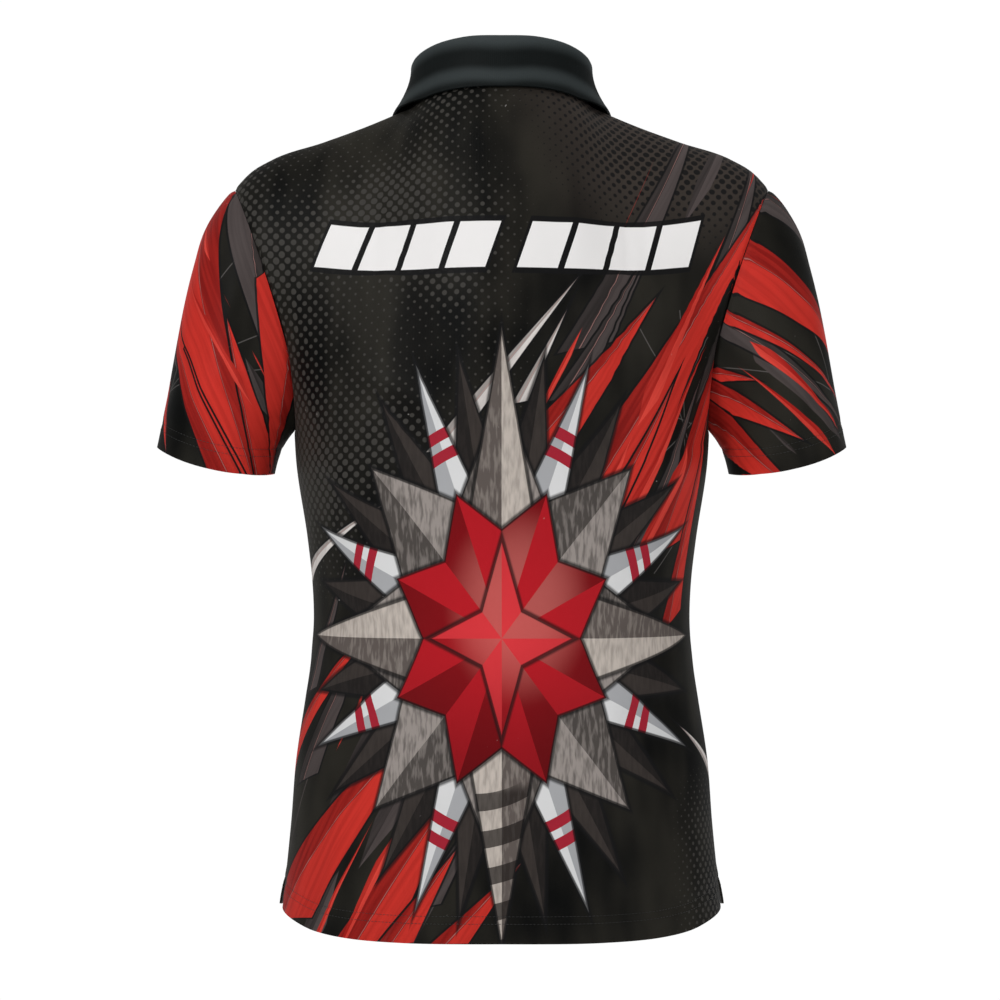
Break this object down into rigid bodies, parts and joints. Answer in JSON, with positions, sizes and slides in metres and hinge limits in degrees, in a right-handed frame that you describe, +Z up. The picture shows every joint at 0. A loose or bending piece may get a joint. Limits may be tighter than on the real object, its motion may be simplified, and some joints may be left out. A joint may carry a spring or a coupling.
{
  "type": "bowling shirt",
  "caption": "Short-sleeved, fitted bowling shirt with a fold-over collar, a button placket and side vents, filled out as when worn.",
  "frame": {"origin": "midway between the two neck ends of the shoulder seams, where the shirt is carried", "axes": "+Z up, +Y out of the back, -Y out of the front, +X to the wearer's left"},
  "size_m": [0.585, 0.266, 0.7449],
  "materials": {
    "cloth": "matte printed polyester knit",
    "collar": "matte polyester rib knit",
    "button": "satin polyester resin"
  },
  "bodies": {
    "root": {"back": "cloth", "front": "cloth", "sleeve_left": "cloth", "sleeve_right": "cloth", "collar": "collar", "placket_top": "cloth", "placket_under": "cloth", "button_1": "button", "button_2": "button", "button_3": "button"}
  },
  "joints": []
}
